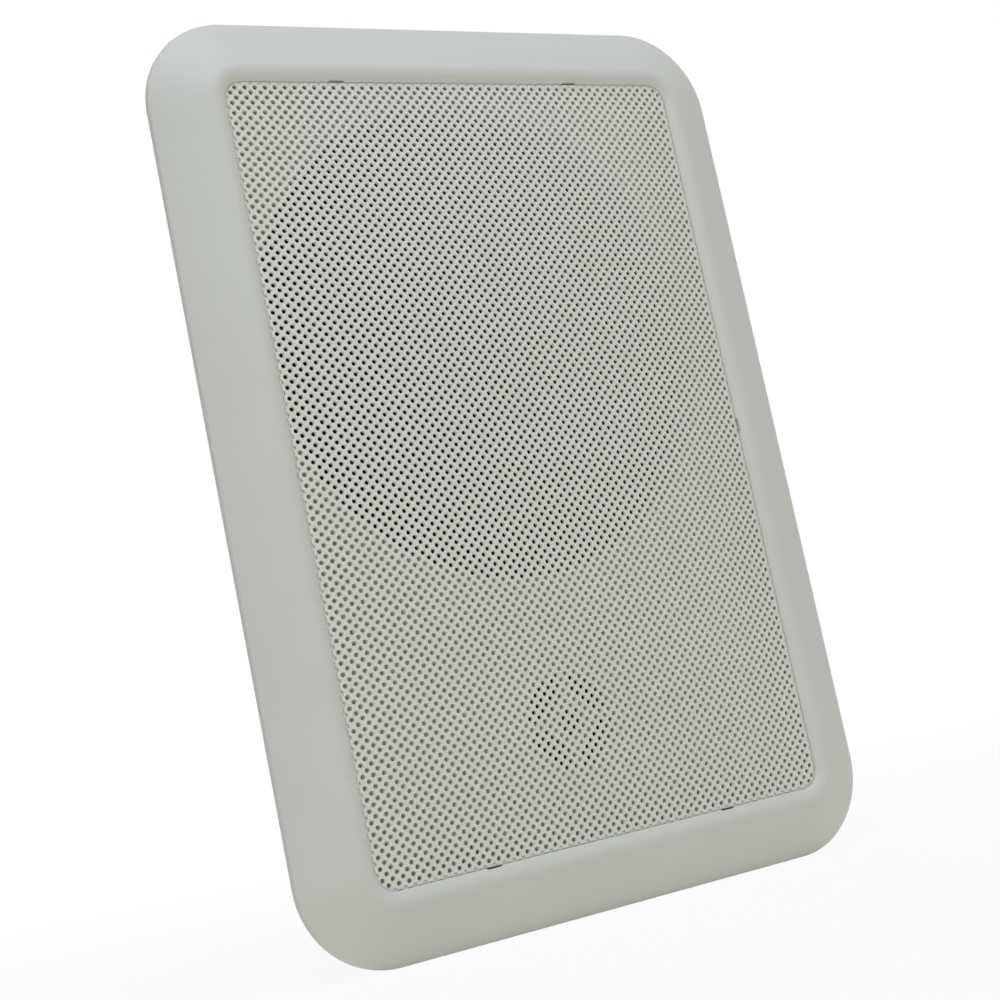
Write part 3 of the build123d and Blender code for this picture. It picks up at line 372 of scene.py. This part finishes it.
# Polyester film tape wound on a capacitor: yellow, glossy and a little uneven
finishes["capacitor_film"] = grainedFinish({
    "name": "polyesterTape", "dark": "#b79c3f", "light": "#cdb556", "mottle": 7.0, "grain": 1.4,
    "rough": (0.2, 0.34), "relief": 0.12, "depth": 0.03, "sockets": {"IOR": 1.6, "Coat Weight": 0.2},
})

# Fired ceramic filled with cement: chalky white with pin holes sunk in the relief and painted darker (painted shade
# in the holes)
finishes["resistor_ceramic"] = fleckedFinish({
    "name": "firedCeramic", "ground": "#e0ded6", "flecks": "#b9b6ab", "fleck": 0.6, "edge": (0.03, 0.3),
    "stretch": (1, 1, 1), "rough": (0.7, 0.82), "relief": 0.35, "depth": -0.05, "sockets": {"IOR": 1.6},
})

# Red polypropylene lever: clear even red with a light moulding grain
finishes["red_plastic"] = grainedFinish({
    "name": "redPolypropylene", "dark": "#a3191c", "light": "#b72326", "mottle": 6.0, "grain": 0.5,
    "rough": (0.32, 0.44), "relief": 0.15, "depth": 0.02, "sockets": {"IOR": 1.49},
})

# Black polypropylene lever: as the red one, so the highlights match
finishes["black_lever"] = grainedFinish({
    "name": "blackPolypropylene", "dark": "#161617", "light": "#212123", "mottle": 6.0, "grain": 0.5,
    "rough": (0.32, 0.44), "relief": 0.15, "depth": 0.02, "sockets": {"IOR": 1.49},
})

# Glass-filled nylon clamp: dark grey with short pale fibres along the arm
finishes["clamp_nylon"] = fleckedFinish({
    "name": "glassFilledNylon", "ground": "#2b2b2c", "flecks": "#48484a", "fleck": 0.5, "edge": (0.03, 0.3),
    "stretch": (0.4, 1, 0.4), "rough": (0.48, 0.62), "relief": 0.2, "depth": 0.03, "sockets": {"IOR": 1.53},
})

for node in nodes.values():
    node.material_slots[0].material = finishes[node.data.materials[0].name]
print("materials made:", len(finishes))

# How close points are welded, cut or counted as flat
near = {"cells": 0.02, "sheet": 0.005, "solid": 0.001, "flat": 0.01}


def startTree(name, inputs):
    tree = bpy.data.node_groups.new(name, "GeometryNodeTree")
    sockets = {}
    for label, kind in inputs.items():
        socket = tree.interface.new_socket(label, in_out="INPUT", socket_type=f"NodeSocket{kind}")
        sockets[label] = socket.identifier
    tree.interface.new_socket("Geometry", in_out="OUTPUT", socket_type="NodeSocketGeometry")
    return tree, sockets, addNode(tree, "NodeGroupInput").outputs


# Each tree ends in one welded mesh of real faces with its finish on
def endTree(tree, geometry, finish):
    real = addNode(tree, "GeometryNodeRealizeInstances", {"Geometry": geometry})
    joined = addNode(tree, "GeometryNodeMergeByDistance", {
        "Geometry": real.outputs["Geometry"], "Distance": near["cells"] * mm,
    })
    coated = addNode(tree, "GeometryNodeSetMaterial", {"Geometry": joined.outputs["Geometry"], "Material": finish})
    addNode(tree, "NodeGroupOutput", {"Geometry": coated.outputs["Geometry"]})


def grownMesh(seed, tree, sockets, values):
    holder = bpy.data.objects.new(seed.name, seed)
    scene.collection.objects.link(holder)
    modifier = holder.modifiers.new(tree.name, "NODES")
    modifier.node_group = tree
    for label, value in values.items():
        modifier[sockets[label]] = value
    grown = bpy.data.meshes.new_from_object(holder.evaluated_get(bpy.context.evaluated_depsgraph_get()))
    bpy.data.objects.remove(holder)
    return grown


# Takes away what lies on the normal's side of a plane and closes the cut
def cutAway(work, point, normal):
    cut = bmesh.ops.bisect_plane(
        work, geom=work.verts[:] + work.edges[:] + work.faces[:], dist=near["solid"] * mm, plane_co=point,
        plane_no=normal, clear_outer=True,
    )
    rim = [edge for edge in cut["geom_cut"] if isinstance(edge, bmesh.types.BMEdge)]
    bmesh.ops.holes_fill(work, edges=rim, sides=0)


def smoothMesh(work, mesh, crease):
    for face in work.faces:
        face.smooth = True
    work.to_mesh(mesh)
    work.free()
    mesh.set_sharp_from_angle(angle=math.radians(crease))


def addPiece(name, mesh):
    piece = bpy.data.objects.new(name, mesh)
    scene.collection.objects.link(piece)
    return piece


# Perforated sheet: round holes on 2.5 mm staggered centres, a little under 1.5 mm wide with the paint on,
# with bevelled rims, and the sheet's edge folded back
perforation = {
    "holeRadius": 0.71,
    "spacing": 2.5,
    "sides": 12,
    "rim": (0.16, 0.36),
    "sheet": 0.85,
    "bend": 0.6,
    "spread": 0.13,
    "fold": 6.0,
    "cornerRadius": 6.73,
    "crownPower": 3,
    "bands": 5,
    "shear": 0.4,
    "crease": 40,
}


def perforatedCell():
    tree, sockets, given = startTree("perforatedCell", {
        "Geometry": "Geometry", "Hole radius": "Float", "Rim width": "Float", "Rim depth": "Float",
        "Cell": "Float", "Sheet": "Float", "Sides": "Int", "Finish": "Material",
    })
    place = addNode(tree, "GeometryNodeInputPosition").outputs["Position"]

    # Mouth of the hole on the front, throat behind its bevelled rim
    mouthRadius = addMath(tree, "ADD", given["Hole radius"], given["Rim width"])
    mouth, throat = [
        addNode(
            tree, "GeometryNodeMeshCircle", {"fill_type": "NONE", "Vertices": given["Sides"], "Radius": radius}
        ).outputs["Mesh"]
        for radius in (mouthRadius, given["Hole radius"])
    ]
    rimDrop = addMath(tree, "MULTIPLY", given["Rim depth"], -1.0)
    backDrop = addMath(tree, "MULTIPLY", given["Sheet"], -1.0)
    wallDrop = addMath(tree, "SUBTRACT", backDrop, rimDrop)
    toRim, toBack, downWall = [
        addNode(tree, "ShaderNodeCombineXYZ", {"Z": drop}).outputs["Vector"]
        for drop in (rimDrop, backDrop, wallDrop)
    ]

    # Faces of the sheet: each circle drawn out to a square standing on its corner
    across = addNode(tree, "ShaderNodeVectorMath", {"operation": "ABSOLUTE", 0: place})
    reach = addNode(tree, "ShaderNodeVectorMath", {
        "operation": "DOT_PRODUCT", 0: across.outputs["Vector"], 1: (1.0, 1.0, 0.0),
    })
    growth = addMath(tree, "DIVIDE", given["Cell"], reach.outputs["Value"])
    corner = addNode(tree, "ShaderNodeVectorMath", {"operation": "SCALE", 0: place, "Scale": growth})
    faces = []
    for circle in (mouth, throat):
        spread = addNode(
            tree, "GeometryNodeExtrudeMesh", {"mode": "EDGES", "Mesh": circle, "Offset Scale": 0.0}
        ).outputs
        faces.append(addNode(tree, "GeometryNodeSetPosition", {
            "Geometry": spread["Mesh"], "Selection": spread["Top"], "Position": corner.outputs["Vector"],
        }).outputs["Geometry"])
    behind = addNode(tree, "GeometryNodeTransform", {"Geometry": faces[1], "Translation": toBack})
    back = addNode(tree, "GeometryNodeFlipFaces", {"Mesh": behind.outputs["Geometry"]})

    # Hole: the rim narrows to the throat, then the wall runs straight through
    narrowing = addMath(tree, "DIVIDE", given["Hole radius"], mouthRadius)
    narrower = addNode(tree, "ShaderNodeCombineXYZ", {"X": narrowing, "Y": narrowing, "Z": 1.0})
    drawnIn = addNode(tree, "ShaderNodeVectorMath", {
        "operation": "MULTIPLY", 0: place, 1: narrower.outputs["Vector"],
    })
    rim = addNode(tree, "GeometryNodeExtrudeMesh", {
        "mode": "EDGES", "Mesh": mouth, "Offset": toRim, "Offset Scale": 1.0,
    }).outputs
    bevelled = addNode(tree, "GeometryNodeSetPosition", {
        "Geometry": rim["Mesh"], "Selection": rim["Top"], "Position": drawnIn.outputs["Vector"],
    })
    wall = addNode(tree, "GeometryNodeExtrudeMesh", {
        "mode": "EDGES", "Mesh": bevelled.outputs["Geometry"], "Selection": rim["Top"], "Offset": downWall,
        "Offset Scale": 1.0,
    })
    cell = addNode(tree, "GeometryNodeJoinGeometry")
    for part in (faces[0], back.outputs["Mesh"], wall.outputs["Mesh"]):
        tree.links.new(part, cell.inputs["Geometry"])
    spots = addNode(tree, "GeometryNodeInstanceOnPoints", {
        "Points": given["Geometry"], "Instance": cell.outputs["Geometry"],
    })
    endTree(tree, spots.outputs["Instances"], given["Finish"])
    return tree, sockets


# Distance outside a rectangle with round corners, and the way straight out from it
def edgeDistance(flat, half, corner):
    tiny = 1e-12
    beyond = np.abs(flat) - (half - corner)
    outer = np.maximum(beyond, 0)
    length = np.hypot(outer[:, 0], outer[:, 1])
    distance = length + np.minimum(beyond.max(axis=1), 0) - corner
    sideways = (beyond[:, 0] > beyond[:, 1]).astype(float)
    plain = np.stack([sideways, 1 - sideways], axis=1)
    away = np.where(length[:, None] > 0, outer / np.maximum(length, tiny)[:, None], plain) * np.sign(flat)
    return distance, away


# Bends the flat sheet's edge back round a quarter turn and crowns its face
def wrapSheet(points, half, edgeDepth, crown):
    flat = points[:, :2]
    distance, away = edgeDistance(flat, half, perforation["cornerRadius"] * mm)
    quarter = math.pi / 2
    bend = perforation["bend"] * mm
    straight = perforation["fold"] * mm - bend
    along = distance + bend
    end = bend * quarter + straight
    turn = np.clip(along / bend, 0, quarter)
    run = np.clip(along - bend * quarter, 0, straight)
    shift = np.where(along > 0, bend * np.sin(turn) - bend - distance, 0)
    inset = -points[:, 2] * np.clip((end - along) / (perforation["shear"] * mm), 0, 1)
    place = flat + away * (shift - inset * np.sin(turn))[:, None]
    share = np.clip(np.abs(place) / half, 0, 1) ** perforation["crownPower"]
    depth = edgeDepth + bend * (1 - np.cos(turn)) + run + inset * np.cos(turn)
    depth -= crown * (1 - share[:, 0]) * (1 - share[:, 1])
    return np.stack([place[:, 0], depth, place[:, 1]], axis=1)


def holeCentres(half, step):
    reach = half + perforation["fold"] * mm
    count = np.ceil(reach / step).astype(int)
    centres = []
    for shift in (0.0, 0.5):
        columns = (np.arange(-count[0], count[0] + 1) + shift) * step
        rows = (np.arange(-count[1], count[1] + 1) + shift) * step
        centres.append(np.stack(np.meshgrid(columns, rows), axis=-1).reshape(-1, 2))
    centres = np.concatenate(centres)
    distance = edgeDistance(centres, half, perforation["cornerRadius"] * mm)[0]
    return centres[distance < perforation["fold"] * mm]


# While a band is flat, its cut edges are closed between front and back and all faces turned outwards
def closeCutEdges(work):
    border = [
        edge for edge in work.edges
        if edge.is_boundary and max(abs(vertex.co.z) for vertex in edge.verts) < near["flat"] * mm
    ]
    grown = bmesh.ops.extrude_edge_only(work, edges=border)
    drawn = [item for item in grown["geom"] if isinstance(item, bmesh.types.BMVert)]
    bmesh.ops.translate(work, verts=drawn, vec=(0, 0, -perforation["sheet"] * mm))
    bmesh.ops.remove_doubles(work, verts=work.verts, dist=near["sheet"] * mm)
    bmesh.ops.recalc_face_normals(work, faces=work.faces)


def grillePieces():
    low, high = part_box("grille")
    half = np.array([high.x - low.x, high.z - low.z]) / 2 + perforation["spread"] * mm
    edgeDepth = high.y - perforation["fold"] * mm
    crown = edgeDepth - low.y
    step = perforation["spacing"] * mm * math.sqrt(2)
    centres = holeCentres(half, step)
    order = np.argsort(centres[:, 1], kind="stable")
    tree, sockets = perforatedCell()
    total = 0
    for number, band in enumerate(np.array_split(order, perforation["bands"])):
        seed = bpy.data.meshes.new("holeCentres")
        seed.from_pydata([(x, y, 0) for x, y in centres[band]], [], [])
        sheet = grownMesh(seed, tree, sockets, {
            "Hole radius": perforation["holeRadius"] * mm,
            "Rim width": perforation["rim"][0] * mm,
            "Rim depth": perforation["rim"][1] * mm,
            "Cell": step / 2,
            "Sheet": perforation["sheet"] * mm,
            "Sides": perforation["sides"],
            "Finish": finishes["grille_paint"],
        })
        work = bmesh.new()
        work.from_mesh(sheet)
        closeCutEdges(work)
        points = np.array([vertex.co for vertex in work.verts])
        for vertex, place in zip(work.verts, wrapSheet(points, half, edgeDepth, crown)):
            vertex.co = place
        bmesh.ops.remove_doubles(work, verts=work.verts, dist=near["sheet"] * mm)
        bmesh.ops.dissolve_degenerate(work, edges=work.edges, dist=near["sheet"] * mm)
        bmesh.ops.holes_fill(work, edges=[edge for edge in work.edges if edge.is_boundary], sides=0)
        smoothMesh(work, sheet, perforation["crease"])
        piece = addPiece(f"perforatedSheet_{number + 1}", sheet)
        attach(piece, "frame")
        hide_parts("grille")
        total += len(sheet.polygons)
    print("grille:", len(centres), "holes,", total, "faces")


grillePieces()

# Surround and spider flex with the cone on the real driver; here each is cut into sectors
flexing = {
    "surround": {"slot": "surround_rubber", "held": 67.0, "carried": 56.0, "sectors": 16, "crease": 35},
    "spider": {"slot": "spider_cloth", "held": 46.5, "carried": 15.0, "sectors": 16, "crease": 35},
}


def flexingPieces(name, flex):
    low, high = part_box(name)
    centre = (low + high) / 2
    whole = bmesh.new()
    whole.from_mesh(nodes[name].data)
    bmesh.ops.remove_doubles(whole, verts=whole.verts, dist=near["solid"] * mm)
    half = math.pi / flex["sectors"]
    for number in range(flex["sectors"]):
        middle = 2 * half * (number + 0.5)
        work = whole.copy()
        for side in (-1, 1):
            turn = middle + side * half
            cutAway(work, centre, (-side * math.sin(turn), 0, side * math.cos(turn)))
        mesh = bpy.data.meshes.new(name)
        smoothMesh(work, mesh, flex["crease"])
        mesh.materials.append(finishes[flex["slot"]])
        piece = addPiece(f"{name}Sector_{number + 1}", mesh)
        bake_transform(piece)
        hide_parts(name)
    whole.free()
    print(name, "cut into", flex["sectors"], "sectors")


for name, flex in flexing.items():
    flexingPieces(name, flex)

# Clamp screws: the head stays as it is, the plain shank gives way to a rolled thread as thick as the shank
thread = {
    "crest": 1.98,
    "root": 1.5,
    "pitch": 0.8,
    "sides": 16,
    "spareTurns": 2,
    "neck": 0.4,
    "overlap": 0.2,
    "headHeight": 2.4,
    "crease": 35,
}


def threadTree():
    tree, sockets, given = startTree("rolledThread", {
        "Geometry": "Geometry", "Crest": "Float", "Root": "Float", "Pitch": "Float", "Turns": "Int", "Sides": "Int",
        "Finish": "Material",
    })

    # A strip one pitch wide with a ridge along its middle, as long as all the turns
    angle = addMath(tree, "MULTIPLY", given["Turns"], math.tau)
    rows = addMath(tree, "MULTIPLY_ADD", given["Turns"], given["Sides"], 1.0)
    strip = addNode(tree, "GeometryNodeMeshGrid", {
        "Size X": given["Pitch"], "Size Y": angle, "Vertices X": 3, "Vertices Y": rows,
    })

    # Wound up, each turn meets the next at the root
    place = addNode(tree, "GeometryNodeInputPosition").outputs["Position"]
    spot = addNode(tree, "ShaderNodeSeparateXYZ", {"Vector": place}).outputs
    radius = addNode(tree, "ShaderNodeMapRange", {
        "Value": addMath(tree, "ABSOLUTE", spot["X"]), "From Max": addMath(tree, "DIVIDE", given["Pitch"], 2.0),
        "To Min": given["Crest"], "To Max": given["Root"],
    }).outputs["Result"]
    lead = addMath(tree, "DIVIDE", given["Pitch"], math.tau)
    along = addMath(tree, "MULTIPLY_ADD", spot["Y"], lead, spot["X"])
    across, upward = [
        addMath(tree, "MULTIPLY", addMath(tree, operation, spot["Y"]), radius) for operation in ("COSINE", "SINE")
    ]
    wound = addNode(tree, "ShaderNodeCombineXYZ", {"X": across, "Y": along, "Z": upward})
    helix = addNode(tree, "GeometryNodeSetPosition", {
        "Geometry": strip.outputs["Mesh"], "Position": wound.outputs["Vector"],
    })
    endTree(tree, helix.outputs["Geometry"], given["Finish"])
    return tree, sockets


def clampScrews():
    tree, sockets = threadTree()
    pitch = thread["pitch"] * mm
    for name in [name for name in nodes if name.startswith("clamp_screw")]:
        low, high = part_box(name)
        neck = low.y + (thread["headHeight"] + thread["neck"]) * mm
        start = neck - thread["overlap"] * mm
        mesh = grownMesh(bpy.data.meshes.new("threadHolder"), tree, sockets, {
            "Crest": thread["crest"] * mm,
            "Root": thread["root"] * mm,
            "Pitch": pitch,
            "Turns": math.ceil((high.y - start) / pitch) + thread["spareTurns"],
            "Sides": thread["sides"],
            "Finish": finishes["zinc_screw"],
        })
        shank = bmesh.new()
        shank.from_mesh(mesh)
        middle = Vector(((low.x + high.x) / 2, (start + high.y) / 2, (low.z + high.z) / 2))
        bmesh.ops.translate(shank, verts=shank.verts, vec=middle)
        cutAway(shank, (0, start, 0), (0, -1, 0))
        cutAway(shank, (0, high.y, 0), (0, 1, 0))
        head = bmesh.new()
        head.from_mesh(nodes[name].data)
        bmesh.ops.remove_doubles(head, verts=head.verts, dist=near["solid"] * mm)
        cutAway(head, (0, neck, 0), (0, 1, 0))
        headMesh = bpy.data.meshes.new("screwHead")
        head.to_mesh(headMesh)
        head.free()
        shank.from_mesh(headMesh)
        bmesh.ops.recalc_face_normals(shank, faces=shank.faces)
        smoothMesh(shank, mesh, thread["crease"])
        station = name.removeprefix("clamp_screw_")
        piece = addPiece(f"threadedScrew_{station}", mesh)
        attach(piece, f"screw_{station}")
        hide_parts(name)
    print("clamp screws threaded:", len(mesh.polygons), "faces each")


clampScrews()

# Floor under the lower edge and a white surround, bright to the camera without adding light
studio = {
    "floorRadius": 3.0,
    "floorSides": 96,
    "floorColour": "#fcfbf7",
    "glow": (0.9, 1.0),
    "glowReach": (0.3, 0.9),
    "skyColour": "#fff5e3",
    "skyStrength": 0.27,
}


def whiteRays(tree):
    rays = addNode(tree, "ShaderNodeLightPath").outputs
    seen = addMath(tree, "MAXIMUM", rays["Is Camera Ray"], rays["Is Glossy Ray"])
    return addMath(tree, "MAXIMUM", seen, rays["Is Transmission Ray"])


def buildFloor():
    material = bpy.data.materials.new("whiteFloor")
    tree = emptyTree(material)
    matt = addNode(tree, "ShaderNodeBsdfDiffuse", {"Color": srgb(studio["floorColour"])})
    glow = addNode(tree, "ShaderNodeEmission", {"Color": white, "Strength": 1.0})
    coords = addNode(tree, "ShaderNodeTexCoord").outputs["Object"]
    away = addNode(tree, "ShaderNodeVectorMath", {"operation": "LENGTH", 0: coords})
    close, far = studio["glowReach"]
    dim, full = studio["glow"]
    fade = addNode(tree, "ShaderNodeMapRange", {
        "Value": away.outputs["Value"], "From Min": close, "From Max": far, "To Min": dim, "To Max": full,
    })
    share = addMath(tree, "MULTIPLY", fade.outputs["Result"], whiteRays(tree))
    mix = addNode(tree, "ShaderNodeMixShader", {
        "Fac": share, 1: matt.outputs["BSDF"], 2: glow.outputs["Emission"],
    })
    addNode(tree, "ShaderNodeOutputMaterial", {"Surface": mix.outputs["Shader"]})
    mesh = bpy.data.meshes.new("floor")
    work = bmesh.new()
    bmesh.ops.create_circle(work, cap_ends=True, segments=studio["floorSides"], radius=studio["floorRadius"])
    for vertex in work.verts:
        vertex.co.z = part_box("frame")[0].z
    work.to_mesh(mesh)
    work.free()
    mesh.materials.append(material)
    addPiece("floor", mesh)


def buildSky():
    world = bpy.data.worlds.new("whiteSurround")
    tree = emptyTree(world)
    light = addNode(tree, "ShaderNodeBackground", {
        "Color": srgb(studio["skyColour"]), "Strength": studio["skyStrength"],
    })
    bright = addNode(tree, "ShaderNodeBackground", {"Color": white, "Strength": 1.0})
    mix = addNode(tree, "ShaderNodeMixShader", {
        "Fac": whiteRays(tree), 1: light.outputs["Background"], 2: bright.outputs["Background"],
    })
    addNode(tree, "ShaderNodeOutputWorld", {"Surface": mix.outputs["Shader"]})
    scene.world = world


# One broad lamp above and in front, a weak one in front, and one behind for the back
lamps = {
    "overheadSoftbox": {"place": (-0.2, -0.7, 1.3), "size": 1.1, "power": 13.1, "colour": "#d5e7ff"},
    "frontSoftbox": {"place": (-0.45, -1.45, 0.1), "size": 0.5, "power": 1.7, "colour": "#fff2e0"},
    "rearSoftbox": {"place": (0.3, 0.85, 0.4), "size": 0.6, "power": 3.8, "colour": "#f4f7ff"},
}


def buildLamps():
    for name, lamp in lamps.items():
        data = bpy.data.lights.new(name, "AREA")
        data.shape = "SQUARE"
        data.size = lamp["size"]
        data.energy = lamp["power"]
        data.color = srgb(lamp["colour"])[:3]
        softbox = bpy.data.objects.new(name, data)
        softbox.location = lamp["place"]
        softbox.rotation_euler = (-Vector(lamp["place"])).to_track_quat("-Z", "Y").to_euler()
        scene.collection.objects.link(softbox)


buildFloor()
buildSky()
buildLamps()
print("studio lit")
